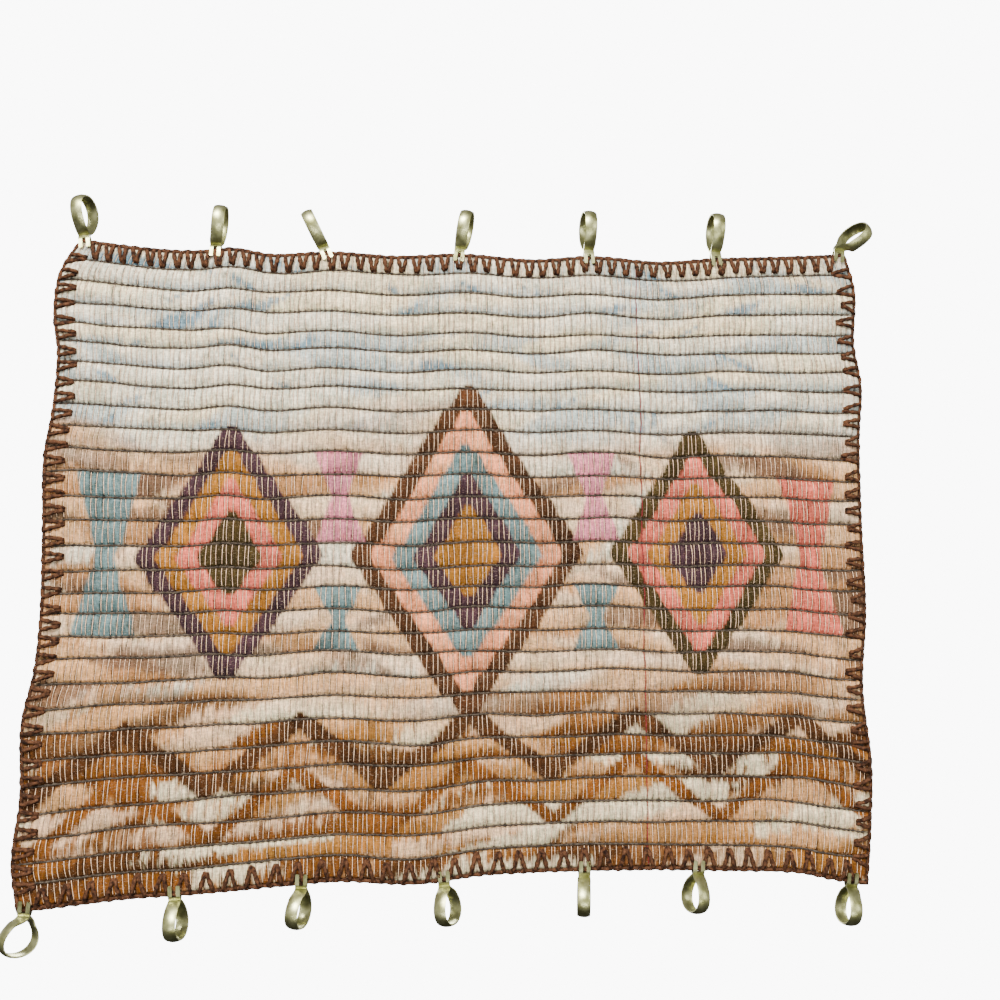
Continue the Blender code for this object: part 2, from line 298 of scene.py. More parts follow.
LEFT_SHARES = band_shares(0)
RIGHT_SHARES = band_shares(1)
LAST = len(BANDS)


def share_down(across, band, within):
    """Share of the cloth's height above a place, given by its band and share of the band."""
    lean = (across + BAND_LINE) / (2 * BAND_LINE)
    low = LEFT_SHARES[band] * (1 - lean) + RIGHT_SHARES[band] * lean
    next_band = np.minimum(band + 1, LAST)
    high = LEFT_SHARES[next_band] * (1 - lean) + RIGHT_SHARES[next_band] * lean
    down = low * (1 - within) + high * within
    sag = wander(across + 997.0 * band, SAG_LENGTH, 11) * (1 - within)
    sag = sag + wander(across + 997.0 * next_band, SAG_LENGTH, 11) * within
    inner = np.clip(np.minimum(band + within, LAST - band - within), 0.0, 1.0)
    down = down + GROOVE_SAG * sag * inner / CLOTH_HEIGHT
    first = (band == 0) & (within == 0.0)
    return np.where(first, 0.0, np.where(band >= LAST, 1.0, down))


def rim_place(x, depth):
    """Straight place across of a real distance from the middle, on the rim at a depth."""
    left, right = smooth_table(LEFT_RIM, depth), smooth_table(RIGHT_RIM, depth)
    return ((x + left) / (left + right) - 0.5) * CLOTH_WIDTH


def place_in_plane(across, down):
    """Real x and z on the cloth for a straight place across and a share down.

    The warps hang straight inside, and only those near a side follow its rim.
    """
    depth = down * CLOTH_HEIGHT
    share = across / CLOTH_WIDTH + 0.5
    x = -BODY_LEFT * (1 - share) + BODY_RIGHT * share
    x = x - (smooth_table(LEFT_RIM, depth) - BODY_LEFT) * (1 - share) ** RIM_POWER
    x = x + (smooth_table(RIGHT_RIM, depth) - BODY_RIGHT) * share ** RIM_POWER
    top = CLOTH_TOP + smooth_table(TOP_RIM, rim_place(x, 0.0))
    bottom = CLOTH_TOP - CLOTH_HEIGHT + smooth_table(BOTTOM_RIM, rim_place(x, CLOTH_HEIGHT))
    return x, top * (1 - down) + bottom * down


def sway(x, z):
    wave = np.sin(2.4 * math.pi * x / CLOTH_WIDTH + 0.5)
    hang = np.sin(1.3 * math.pi * (z - CLOTH_TOP) / CLOTH_HEIGHT)
    return SWAY * wave * hang


def rim_height(x, up):
    """Height of the top or bottom rim at a real distance from the middle."""
    if up > 0:
        return float(CLOTH_TOP + smooth_table(TOP_RIM, rim_place(x, 0.0)))
    return float(CLOTH_TOP - CLOTH_HEIGHT + smooth_table(BOTTOM_RIM, rim_place(x, CLOTH_HEIGHT)))


def warp_place(number, down):
    """Straight distance across of a warp, which wavers a little on its way down."""
    pitch = CLOTH_WIDTH / WARPS
    base = -CLOTH_WIDTH / 2 + number * pitch
    drift = WARP_DRIFT * pitch * wander(number * 53.0, 53.0, 21)
    waver = WARP_WAVER * pitch * wander(number * 530.0 + down * 900.0, 40.0, 22)
    inner = np.clip(np.minimum(number, WARPS - number) / 2.0, 0.0, 1.0)
    return base + (drift + waver) * inner


def across_at(number, down):
    """Straight distance across of a place counted in warps, on a warp or between two."""
    low = np.floor(number)
    share = number - low
    return warp_place(low, down) * (1 - share) + warp_place(low + 1, down) * share


def edge_taper(across):
    """Fullness near the side rims: 0 at the rim itself, 1 well inside."""
    inset = CLOTH_WIDTH / 2 - np.abs(across)
    return 1.0 - (1.0 - np.clip(inset / 7.0, 0.0, 1.0)) ** 2.2


def relief(across, band, within, phase):
    """Half thickness of the roving: full between two warps and drawn in under each."""
    band = np.minimum(band, LAST - 1)
    crest = np.where((band == 0) | (band == LAST - 1), EDGE_BAND_HALF, CREST_HALF)
    plump = 1.0 + 0.10 * wander(across + 613.0 * band, 31.0, 31)
    plump = plump + 0.07 * wander(across + 419.0 * band, 5.0, 32)
    round_up = np.sin(math.pi * np.clip(within, 0.0, 1.0)) ** 0.72
    full = GROOVE_HALF + (crest * plump - 0.1 - GROOVE_HALF) * round_up
    near = np.abs(phase - np.round(phase))
    draw = WARP_DRAW * np.exp(-(near / DRAW_WIDTH) ** 2)
    draw = draw + ROUND_DRAW * np.cos(math.pi * np.minimum(near, 0.5)) ** 2
    rim = 0.75 * RIM_HALF
    return rim + (full - draw * round_up - rim) * edge_taper(across)


# The dyes

def blend_in(colour, other, share):
    return colour + (other - colour) * share[..., None]


def between(low, high, value, soft):
    """1 between low and high and 0 outside, with soft edges."""
    above = smooth_step(low - soft, low + soft, value)
    return above * (1 - smooth_step(high - soft, high + soft, value))


def ground_dye(x, band, within):
    """Streaky roving, new in each band: pale above, sandy in the middle, ochre below, with painted
    blue-grey shade on the lower part of the pale bands.
    """
    level = band + within
    hand = np.sign(wander(band * 131.0 + 0 * x, 97.0, 40))
    run = x + 211.0 * band + 26.0 * hand * (within - 0.5)
    row = band + 0.35 * within
    grain = wander(x + 311.0 * band + 2.0 * within, 1.5, 58) + 0.7 * wander2(x, level, 5.0, 0.25, 59)

    def patch(wide, tall, seed, low, high, push=0.0):
        return smooth_step(low, high, wander2(run, row, wide, tall, seed) + push + 0.12 * grain)

    sandy = smooth_step(8.3, 10.8, level + 1.7 * wander2(x, level, 95, 1.4, 43))
    ochre = smooth_step(19.5, 23.0, level + 1.5 * wander2(x, level, 85, 1.2, 48))
    sides = smooth_step(120, 290, np.abs(x + 45 * wander2(x, level, 120, 1.6, 44)))
    colour = np.ones(x.shape + (3,)) * CREAM
    colour = blend_in(colour, IVORY, patch(60, 0.8, 41, -0.1, 0.4))
    colour = blend_in(colour, BLUE_GREY, 0.72 * patch(40, 0.6, 42, 0.05, 0.55) * (1 - sandy))
    # Painted shade: blue-grey on the lower part of each band, outside the sandy zone.
    shaded = smooth_step(0.40, 0.95, within) * patch(75, 0.9, 54, -0.35, 0.35)
    colour = blend_in(colour, BLUE_GREY, 0.7 * shaded * (1 - sandy))
    colour = blend_in(colour, BLUE, 0.75 * patch(15, 0.5, 53, 0.62, 0.85) * (1 - 0.7 * sandy))
    colour = blend_in(colour, PEACH, 0.75 * sandy)
    colour = blend_in(colour, SAND, 0.85 * sandy * patch(70, 0.8, 45, -0.1, 0.45, 0.4 * sides))
    colour = blend_in(colour, TAN, 0.9 * sandy * patch(55, 0.7, 46, 0.15, 0.5, 0.5 * sides - 0.12))
    colour = blend_in(colour, DUSK, 0.8 * sandy * patch(42, 0.6, 47, 0.35, 0.62, 0.38 * sides - 0.05))
    colour = blend_in(colour, CREAM, 0.85 * sandy * patch(64, 0.9, 55, 0.35, 0.6, -0.25 * sides))
    colour = blend_in(colour, GOLD, 0.92 * ochre * patch(84, 0.8, 49, -0.75, -0.3))
    colour = blend_in(colour, COPPER, 0.9 * ochre * patch(110, 0.7, 56, -0.25, 0.0, 0.25 * sides))
    colour = blend_in(colour, UMBER, 0.8 * ochre * patch(60, 0.6, 50, 0.2, 0.45, 0.1 * sides))
    colour = blend_in(colour, SAND, 0.8 * smooth_step(15, 19, level) * patch(50, 0.7, 51, 0.35, 0.6))
    colour = blend_in(colour, PEACH, 0.9 * ochre * patch(70, 0.8, 57, 0.36, 0.56, -0.1 * sides))
    colour = blend_in(colour, IVORY, 0.92 * ochre * patch(80, 0.8, 52, 0.42, 0.54, -0.1 * sides))
    return colour


# Lozenges: centre across, first band, last band, half width, then a colour for each step in
LOZENGES = [
    (-168, 9, 19, 66, (PLUM, GOLD, CORAL, OLIVE)),
    (0, 7, 21, 84, (BROWN, APRICOT, TEAL, PLUM, GOLD)),
    (168, 9, 19, 66, (OLIVE, CORAL, GOLD, PLUM)),
]
# Hourglasses between them: centre across, first band, last band, half width, colour
HOURGLASSES = [
    (-253, 11, 17, 20, TEAL), (-92, 10, 13, 15, PINK), (92, 10, 13, 15, PINK),
    (-92, 16, 18, 13, TEAL), (92, 16, 18, 13, TEAL), (253, 11, 17, 20, CORAL),
]
# Zigzags: band at the foot, bands in height, length of a repeat, thickness in bands, colour
ZIGZAGS = [(24.6, 2.6, 118.0, 0.9, UMBER), (26.6, 2.6, 118.0, 0.7, COPPER)]


def draw_motif(colour, inside, dye, x, band, seed):
    uneven = 1.05 + 0.38 * wander2(x, band, 13, 0.8, seed)[..., None]
    return colour + (dye * uneven - colour) * inside[..., None]


def motif_dye(colour, x, band, within):
    """A woven pattern: zigzags, nested lozenges and small hourglasses, jogged at the grooves."""
    nudge = 2.0 * wander(x * 0 + band * 77.0, 60.0, 61)
    at = x + nudge + 0.7 * wander(x + 311.0 * band, 1.5, 62)
    level = band + 0.8 * (within - 0.5)
    for foot, tall, repeat, thick, dye in ZIGZAGS:
        rise = np.abs(((at / repeat) % 1.0) - 0.5) * 2.0 * tall
        inside = between(foot - rise - thick, foot - rise, level, 0.06)
        colour = draw_motif(colour, inside, dye, x, band, 71)
    for centre, first, last, half, dyes in LOZENGES:
        middle, reach = (first + last) / 2, (last - first) / 2 + 1
        height = 1.0 - np.abs(level - middle) / reach
        for step, dye in enumerate(dyes):
            size = half * (height - step / (len(dyes) + 0.6))
            inside = between(centre - size, centre + size, at, 0.7) * (size > 3.0)
            colour = draw_motif(colour, inside, dye, x, band, 72 + step)
    for centre, first, last, half, dye in HOURGLASSES:
        middle, reach = (first + last) / 2, max((last - first) / 2, 0.5)
        size = half * (0.35 + 0.65 * np.abs(level - middle) / reach)
        inside = between(centre - size, centre + size, at, 0.7)
        inside = inside * ((band >= first) & (band <= last))
        colour = draw_motif(colour, inside, dye, x, band, 81)
    return colour


def dye_at(x, band, within):
    band = np.minimum(band, LAST - 1)
    colour = ground_dye(x, band, within)
    colour = motif_dye(colour, x, band, within)
    lumps = 1.0 + 0.09 * wander(x + 337.0 * band, 3.9, 91)
    lumps = lumps + 0.10 * wander2(x, band + within, 22, 0.5, 92)
    return np.clip(colour * lumps[..., None], 0.004, 0.93)


# Mesh building

def build_mesh(name, points, polygons, **colours):
    """An object from points in millimetres and arrays of polygons, smooth shaded.

    Each named array of colours becomes a colour attribute of that name.
    """
    mesh = bpy.data.meshes.new(name)
    mesh.vertices.add(len(points))
    mesh.vertices.foreach_set("co", (np.asarray(points, np.float32) * MM).ravel())
    polygons = [np.asarray(group, np.int32) for group in polygons if len(group)]
    sizes = np.concatenate([np.full(len(group), group.shape[1]) for group in polygons])
    corners = np.concatenate([group.ravel() for group in polygons])
    mesh.loops.add(len(corners))
    mesh.loops.foreach_set("vertex_index", corners)
    mesh.polygons.add(len(sizes))
    starts = np.concatenate(([0], np.cumsum(sizes)[:-1])).astype(np.int32)
    mesh.polygons.foreach_set("loop_start", starts)
    for title, values in colours.items():
        layer = mesh.color_attributes.new(name=title, type="FLOAT_COLOR", domain="POINT")
        full = np.ones((len(points), 4), np.float32)
        full[:, :3] = values
        layer.data.foreach_set("color", full.ravel())
    mesh.update(calc_edges=True)
    mesh.validate()
    mesh.shade_smooth()
    piece = bpy.data.objects.new(name, mesh)
    bpy.context.scene.collection.objects.link(piece)
    return piece


def grid_faces(rows, columns, start, outwards):
    """Quads of a grid of points, numbered row by row."""
    corner = start + np.arange(rows - 1)[:, None] * columns + np.arange(columns - 1)[None, :]
    a, b, c, d = corner, corner + columns, corner + columns + 1, corner + 1
    order = (a, b, c, d) if outwards else (d, c, b, a)
    return np.stack([part.ravel() for part in order], axis=1)


def wall_faces(near, far):
    """Quads between two rows of as many points."""
    return np.stack([near[:-1], far[:-1], far[1:], near[1:]], axis=1)


def sweep(paths, radii, sides, reference, twist=None, closed=False):
    """Tubes round many paths of equal length. Returns points and polygons."""
    paths = np.asarray(paths, float)
    count, length, _ = paths.shape
    if closed:
        along = np.roll(paths, -1, axis=1) - np.roll(paths, 1, axis=1)
    else:
        along = np.gradient(paths, axis=1)
    along /= np.linalg.norm(along, axis=2, keepdims=True) + 1e-9
    side = np.cross(along, np.asarray(reference, float))
    side /= np.linalg.norm(side, axis=2, keepdims=True) + 1e-9
    other = np.cross(along, side)
    angle = np.arange(sides) * 2 * math.pi / sides
    radii = np.broadcast_to(np.asarray(radii, float), (count, length))[..., None]
    if twist is None:
        around = np.broadcast_to(radii, (count, length, sides))
    else:
        steps = np.linalg.norm(np.diff(paths, axis=1, prepend=paths[:, :1]), axis=2)
        run = np.cumsum(steps, axis=1)[..., None]
        around = radii * (1.0 + PLY_DEPTH * np.cos(2 * angle - 2 * math.pi * run / twist))
    cosine, sine = np.cos(angle)[:, None], np.sin(angle)[:, None]
    turn = cosine * side[:, :, None] + sine * other[:, :, None]
    points = paths[:, :, None] + around[..., None] * turn
    index = np.arange(count * length * sides).reshape(count, length, sides)
    if closed:
        near, far = index, np.roll(index, -1, axis=1)
    else:
        near, far = index[:, :-1], index[:, 1:]
    quads = [far, np.roll(far, -1, axis=2), np.roll(near, -1, axis=2), near]
    groups = [np.stack(quads, axis=-1).reshape(-1, 4)]
    if not closed:
        groups += [index[:, 0].reshape(-1, sides), index[:, -1, ::-1].reshape(-1, sides)]
    return points.reshape(-1, 3), groups


def cloth_surface(across, band, within, phase, front):
    """Points on the front or back of the cloth, in millimetres."""
    down = share_down(across, band, within)
    x, z = place_in_plane(across, down)
    half = relief(across, band, within, phase)
    return np.stack([x, sway(x, z) + (-half if front else half), z], axis=-1)


def weave_side(first, last, steps, front):
    """One face of a run of bands: a grid of points, their dyes and how they lie.

    A point lies so far from the nearest warp and so far from the nearest groove.
    """
    rows = [(band, within) for band in range(first, last) for within in BAND_ROWS]
    rows.append((last, 0.0))
    band = np.array([row[0] for row in rows])[:, None]
    within = np.array([row[1] for row in rows])[:, None]
    number = np.arange(WARPS * steps + 1) / steps
    across = across_at(number, (band + within) / LAST)
    band, within = (np.broadcast_to(values, across.shape) for values in (band, within))
    phase = np.broadcast_to(number + (0.0 if front else 0.5), across.shape)
    points = cloth_surface(across, band, within, phase, front)
    groove = band >= last
    dyed_band = np.where(groove, last - 1, band)
    dyed_within = np.where(groove, 1.0, within)
    dyes = dye_at(points[..., 0], dyed_band, dyed_within)
    # The roving's material paints shade by these two distances, along each warp and each groove.
    near_warp = np.abs(phase - np.round(phase))
    near_groove = np.minimum(dyed_within, 1.0 - dyed_within)
    return points, dyes, np.stack([near_warp, near_groove, 0.0 * near_warp], axis=-1)


def make_weave():
    """The roving bands in three closed lengths, which meet in two grooves."""
    pieces = []
    for name, first, last in PIECES:
        front, front_dye, front_lie = weave_side(first, last, FRONT_STEPS, True)
        back, back_dye, back_lie = weave_side(first, last, BACK_STEPS, False)
        rows, wide, narrow = front.shape[0], front.shape[1], back.shape[1]
        start = rows * wide
        polygons = [grid_faces(rows, wide, 0, True), grid_faces(rows, narrow, start, False)]
        front_index = np.arange(start).reshape(rows, wide)
        back_index = start + np.arange(rows * narrow).reshape(rows, narrow)
        polygons.append(wall_faces(front_index[:, 0], back_index[:, 0]))
        polygons.append(wall_faces(front_index[:, -1], back_index[:, -1])[:, ::-1])
        for row, flip in ((0, False), (rows - 1, True)):
            near, far = front_index[row], back_index[row]
            strip = np.stack([near[0:-2:2], near[1:-1:2], near[2::2], far[1:], far[:-1]], axis=1)
            polygons.append(strip[:, ::-1] if flip else strip)
        points = np.concatenate([front.reshape(-1, 3), back.reshape(-1, 3)])
        dyes = np.concatenate([front_dye.reshape(-1, 3), back_dye.reshape(-1, 3)])
        lies = np.concatenate([front_lie.reshape(-1, 3), back_lie.reshape(-1, 3)])
        pieces.append(build_mesh("weave_" + name, points, polygons, dye=dyes, lie=lies))
    return pieces


def warp_paths(numbers, stops, front):
    """Warps that lie over the bands on one face and cross the wefts in the grooves."""
    rows = [(band, within) for band in range(LAST) for within in stops]
    rows.append((LAST, 0.0))
    band = np.array([row[0] for row in rows])
    within = np.array([row[1] for row in rows])
    across = across_at(np.asarray(numbers, float)[:, None], (band + within) / LAST)
    band, within = (np.broadcast_to(values, across.shape) for values in (band, within))
    x, z = place_in_plane(across, share_down(across, band, within))
    half = relief(across, band, within, np.zeros_like(across)) + SEAT * WARP_RADIUS
    depth = np.where(within == 0.0, 0.0, half)
    side = -1.0 if front else 1.0
    return np.stack([x, sway(x, z) + side * depth, z], axis=-1)


def make_warps():
    """The front warps, the wine red one among them, and the back warps between them."""
    numbers = [number for number in range(1, WARPS) if number != RED_WARP]
    front, groups = sweep(warp_paths(numbers, FRONT_STOPS, True), WARP_RADIUS, 3, (1, 0, 0))
    pieces = [build_mesh("warps_front", front, groups)]
    red, groups = sweep(warp_paths([RED_WARP], FRONT_STOPS, True), WARP_RADIUS * 1.15, 5, (1, 0, 0))
    pieces.append(build_mesh("warp_red", red, groups))
    halves = np.arange(0.5, WARPS, 1.0)
    back, groups = sweep(warp_paths(halves, BACK_STOPS, False), WARP_RADIUS, 3, (1, 0, 0))
    pieces.append(build_mesh("warps_back", back, groups))
    return pieces


def make_picks():
    """Two thin dark wefts twined in each groove, one before and one behind each warp."""
    number = np.arange(WARPS * 2 + 1) / 2.0
    band = np.repeat(np.arange(1, LAST), 2)[:, None]
    hand = np.tile([1.0, -1.0], LAST - 1)[:, None]
    across = across_at(number, band / LAST)
    band = np.broadcast_to(band, across.shape)
    x, z = place_in_plane(across, share_down(across, band, 0.0 * across))
    inset = CLOTH_WIDTH / 2 - np.abs(across)
    swing = hand * PICK_SWING * np.cos(math.pi * number) + PICK_FORWARD
    swing = swing * np.clip(inset / 6.0, 0.0, 1.0)
    z = z + 0.35 * wander(across + 71.0 * band, 3.0, 95) + 0.25 * hand * np.sin(math.pi * number)
    paths = np.stack([x, sway(x, z) - swing, z], axis=-1)
    radius = PICK_RADIUS * (1.0 + 0.2 * wander(across + 171.0 * band + 9.0 * hand, 2.6, 96))
    points, groups = sweep(paths, radius, 4, (0, 0, 1))
    return build_mesh("groove_picks", points, groups)


# Edging

def rim_run(step):
    """Closed run round the rim as straight places across and shares down, clockwise."""
    wide = np.linspace(-CLOTH_WIDTH / 2, CLOTH_WIDTH / 2, int(CLOTH_WIDTH / step), endpoint=False)
    tall = np.linspace(0.0, 1.0, int(CLOTH_HEIGHT / step), endpoint=False)
    across = np.concatenate([wide, tall * 0 + CLOTH_WIDTH / 2, -wide, tall * 0 - CLOTH_WIDTH / 2])
    down = np.concatenate([wide * 0, tall, wide * 0 + 1.0, 1.0 - tall])
    return across, down


def set_out(points, distance):
    """A closed clockwise run of points moved outwards in the cloth's plane."""
    ahead = np.roll(points, -1, axis=0) - points
    ahead /= np.linalg.norm(ahead, axis=1, keepdims=True)
    behind = np.roll(ahead, 1, axis=0)
    along = ahead + behind
    along /= np.linalg.norm(along, axis=1, keepdims=True)
    outwards = np.stack([-along[:, 2], 0 * along[:, 0], along[:, 0]], axis=1)
    mitre = np.maximum((along * ahead).sum(axis=1), 0.75)
    return points + outwards * (distance / mitre)[:, None]


def make_purl():
    """The plied yarn that runs round the rim and swells where a stitch loops over it."""
    across, down = rim_run(PURL_STEP)
    x, z = place_in_plane(across, down)
    points = set_out(np.stack([x, sway(x, z), z], axis=1), PURL_OFFSET - PURL_CLOSER)
    run = np.arange(len(points))
    turn = run * PURL_STEP * 2 * math.pi / LOOP_PITCH
    beat = 0.5 + 0.5 * np.cos(turn + 2.0 * wander(run, 60.0, 97))
    radius = PURL_RADIUS + PURL_SWELL * beat ** 2 + 0.12 * wander(run, 3.0, 98)
    rings, groups = sweep(points[None], radius[None], 8, (0, 1, 0), twist=PURL_PLY, closed=True)
    return build_mesh("stitch_purl", rings, groups)


# Each side of the cloth: stitches, spread at the rim, depth and how uneven they are
STITCHES = {"top": (54, 3.1, 11.0, 0.8), "bottom": (38, 4.4, 12.3, 1.1),
            "left": (39, 3.3, 12.0, 1.2), "right": (34, 3.6, 11.2, 1.9)}


def leg_frames(side):
    """Place at the rim, place of the tip, depth, hand and bow of every leg on one side."""
    count, spread, depth, loose = STITCHES[side]
    rng = np.random.default_rng(len(side) * 7 + count)
    length = CLOTH_WIDTH if side in ("top", "bottom") else CLOTH_HEIGHT
    pitch = (length - 2 * CORNER) / count
    legs = []
    for number in range(count):
        middle = CORNER + (number + 0.5) * pitch + rng.uniform(-0.5, 0.5) * loose
        tip = (middle + rng.uniform(-0.8, 0.8) * loose, depth + rng.uniform(-1.0, 1.0) * loose)
        for hand in (-1, 1):
            root = middle + hand * (spread + rng.uniform(-0.4, 0.4) * loose)
            bow = rng.uniform(0.2, 0.9)
            legs.append((root, tip[0], tip[1] + rng.uniform(-0.5, 0.5), hand, bow))
    return legs


def side_place(side, run, inset):
    """Straight place across, share down, x and z of places along a side, in from its rim."""
    inner = np.clip(inset, 0.0, None)
    if side in ("top", "bottom"):
        across = np.clip(run - CLOTH_WIDTH / 2, -CLOTH_WIDTH / 2, CLOTH_WIDTH / 2)
        down = inner / CLOTH_HEIGHT if side == "top" else 1.0 - inner / CLOTH_HEIGHT
        x, rim = place_in_plane(across, np.round(down))
        return across, down, x, rim - inset * (1 if side == "top" else -1)
    hand = -1 if side == "left" else 1
    across = hand * (CLOTH_WIDTH / 2 - inner)
    down = np.clip(run / CLOTH_HEIGHT, 0.0, 1.0)
    x, z = place_in_plane(across, down)
    return across, down, x - hand * np.minimum(inset, 0.0), z


def band_at(across, down):
    """Band, and share of that band, at a row of places given by their share down."""
    lean = ((across + BAND_LINE) / (2 * BAND_LINE))[:, None]
    edges = LEFT_SHARES * (1 - lean) + RIGHT_SHARES * lean
    band = np.clip((down[:, None] >= edges).sum(axis=1) - 1, 0, LAST - 1)
    row = np.arange(len(band))
    low, high = edges[row, band], edges[row, band + 1]
    return band, np.clip((down - low) / (high - low), 0.0, 1.0)


def make_stitches(front):
    """The slanting legs of the blanket stitch, in pairs that meet in a point."""
    steps, sides = (11, 8) if front else (7, 6)
    share = np.linspace(0.0, 1.0, steps)
    paths = []
    for side in STITCHES:
        for root, tip, depth, hand, bow in leg_frames(side):
            apart = TIP_GAP + (abs(root - tip) - TIP_GAP) * (1.0 - share) ** 1.35
            run = tip + hand * (apart + 0.5 * bow * np.sin(math.pi * share))
            inset = LEG_START + (depth - LEG_START) * share
            across, down, x, z = side_place(side, run, inset)
            band, within = band_at(across, down)
            lift = relief(across, band, within, np.full(steps, 0.25)) + SEAT * YARN_RADIUS
            lift = lift * smooth_step(-0.12, 0.22, share) - TIP_DIVE * smooth_step(0.86, 1.0, share)
            paths.append(np.stack([x, sway(x, z) + (-lift if front else lift), z], axis=1))
    uneven = wander(np.arange(len(paths) * steps), 2.3, 99)
    radius = YARN_RADIUS * (1.0 + 0.10 * uneven).reshape(-1, steps)
    points, groups = sweep(paths, radius, sides, (0.13, 1, 0.07), twist=YARN_PLY)
    return build_mesh("stitches_front" if front else "stitches_back", points, groups)


# Clip rings

def ring_place(ring, up, height, out, aside):
    """Place of a point on a ring: its height over the purl, depth and distance aside."""
    _, across, _, loop_lean, turn, prong_lean = ring
    share = float(smooth_step(TWIST_FROM, TWIST_TO, height))
    angle = math.radians(turn) * share
    lean = math.radians(prong_lean + (loop_lean - prong_lean) * share)
    aside, out = (aside * math.cos(angle) - out * math.sin(angle),
                  out * math.cos(angle) + aside * math.sin(angle))
    purl = rim_height(across, up) + up * PURL_OFFSET
    x = across + height * math.sin(lean) + aside * math.cos(lean)
    z = purl + up * (height * math.cos(lean) - aside * math.sin(lean))
    return (x, float(sway(across, purl)) - out, z)


def strip_rows(neck, loop_height):
    """Rows of the strip from the front prongs round the loop: height, depth, width, kind."""
    prong = np.array([(-neck, NECK_HALF_GAP)] + PRONG_PATH)
    inwards = np.linspace(prong[-1, 0], -neck, PRONG_ROWS + 1)[:-1]
    outwards = np.interp(inwards, prong[:, 0], prong[:, 1])
    kinds = ["prong" if down > SPLIT_FROM else "band" for down in inwards]
    front = [(-down, out, NECK_WIDTH, kind) for down, out, kind in zip(inwards, outwards, kinds)]
    loop = []
    for step in range(LOOP_STEPS + 1):
        angle = 2 * math.pi * step / LOOP_STEPS
        height = loop_height / 2 * (1 - math.cos(angle))
        out = LOOP_RADIUS * abs(math.sin(angle)) * math.sqrt(abs(math.sin(angle / 2))) / DROP_PEAK
        if height < loop_height / 4:
            out = max(out, NECK_HALF_GAP)
        width = NECK_WIDTH + (STRIP_WIDTH - NECK_WIDTH) * float(smooth_step(0.0, 3.0, height))
        loop.append((neck + height, out if step <= LOOP_STEPS / 2 else -out, width, "band"))
    back = [(height, -out, width, kind) for height, out, width, kind in reversed(front)]
    return front + loop + back


def make_ring(ring, up):
    """A domed strip bent into a loop, split into two prongs on each face of the cloth."""
    neck = ring[2]
    loop_height = LOOP_HEIGHT_ABOVE if up > 0 else LOOP_HEIGHT_BELOW
    rows = strip_rows(neck, loop_height)
    middle_height = neck + loop_height / 2
    points, quads = [], []
    for height, out, width, kind in rows:
        squeeze = TIP_WIDTH if height < -TIP_FROM else 1.0
        fullness = DOME * float(smooth_step(1.0, 7.0, height - neck))
        for aside in STRIP_COLUMNS:
            middle = math.copysign(PRONG_MIDDLE, aside)
            here = (middle + (aside - middle) * squeeze) if kind == "prong" else aside
            draw = fullness * abs(aside) ** 2.4 / math.hypot(height - middle_height, out)
            points.append(ring_place(ring, up, height + (middle_height - height) * draw,
                                     out * (1 - draw), here * width / 2))
    columns = len(STRIP_COLUMNS)
    for row in range(len(rows) - 1):
        split = "prong" in (rows[row][3], rows[row + 1][3])
        for lane in range(columns - 1):
            if split and abs(STRIP_COLUMNS[lane] + STRIP_COLUMNS[lane + 1]) < 0.5:
                continue
            corner = row * columns + lane
            quads.append((corner, corner + columns, corner + columns + 1, corner + 1))
    used, index = np.unique(np.array(quads), return_inverse=True)
    piece = build_mesh("clip_" + ring[0], np.array(points)[used], [index.reshape(-1, 4)])
    shell = piece.modifiers.new("strip", "SOLIDIFY")
    shell.thickness = STRIP_THICKNESS * MM
    shell.offset = 0.0
    round_off = piece.modifiers.new("edges", "BEVEL")
    round_off.width = EDGE_ROUND * MM
    round_off.segments = 2
    round_off.limit_method = "ANGLE"
    round_off.harden_normals = True
    return piece


# Materials

def new_material(name):
    material = bpy.data.materials.new(name)
    material.use_nodes = True
    tree = material.node_tree
    return material, tree, tree.nodes["Principled BSDF"]


def add_node(tree, kind, **values):
    node = tree.nodes.new(kind)
    for name, value in values.items():
        setattr(node, name, value)
    return node


def attribute(tree, name):
    """The colour attribute of that name."""
    return add_node(tree, "ShaderNodeAttribute", attribute_name=name).outputs["Color"]


def noise(tree, scale, detail, roughness=0.5):
    """Noise stretched by its scale along X, Y and Z, per metre."""
    place = add_node(tree, "ShaderNodeTexCoord")
    mapping = add_node(tree, "ShaderNodeMapping")
    mapping.inputs["Scale"].default_value = scale
    texture = add_node(tree, "ShaderNodeTexNoise")
    texture.inputs["Scale"].default_value = 1.0
    texture.inputs["Detail"].default_value = detail
    texture.inputs["Roughness"].default_value = roughness
    tree.links.new(place.outputs["Object"], mapping.inputs["Vector"])
    tree.links.new(mapping.outputs["Vector"], texture.inputs["Vector"])
    return texture.outputs["Fac"]


def span(tree, value, low, high, out_low, out_high):
    """The value mapped from one range to another, and held at the ends."""
    node = add_node(tree, "ShaderNodeMapRange")
    node.inputs["From Min"].default_value = low
    node.inputs["From Max"].default_value = high
    node.inputs["To Min"].default_value = out_low
    node.inputs["To Max"].default_value = out_high
    tree.links.new(value, node.inputs["Value"])
    return node.outputs["Result"]


def mix_colour(tree, blend, factor, first, second):
    node = add_node(tree, "ShaderNodeMix", data_type="RGBA", blend_type=blend)
    sockets = [socket for socket in node.inputs if socket.type == "RGBA"]
    for socket, value in ((node.inputs["Factor"], factor), (sockets[0], first), (sockets[1], second)):
        if isinstance(value, bpy.types.NodeSocket):
            tree.links.new(value, socket)
        elif isinstance(value, (float, int)):
            socket.default_value = value
        else:
            socket.default_value = (*value, 1.0)
    return next(socket for socket in node.outputs if socket.type == "RGBA")


def bump(tree, shader, height, strength, distance):
    node = add_node(tree, "ShaderNodeBump")
    node.inputs["Strength"].default_value = strength
    node.inputs["Distance"].default_value = distance
    tree.links.new(height, node.inputs["Height"])
    tree.links.new(node.outputs["Normal"], shader.inputs["Normal"])


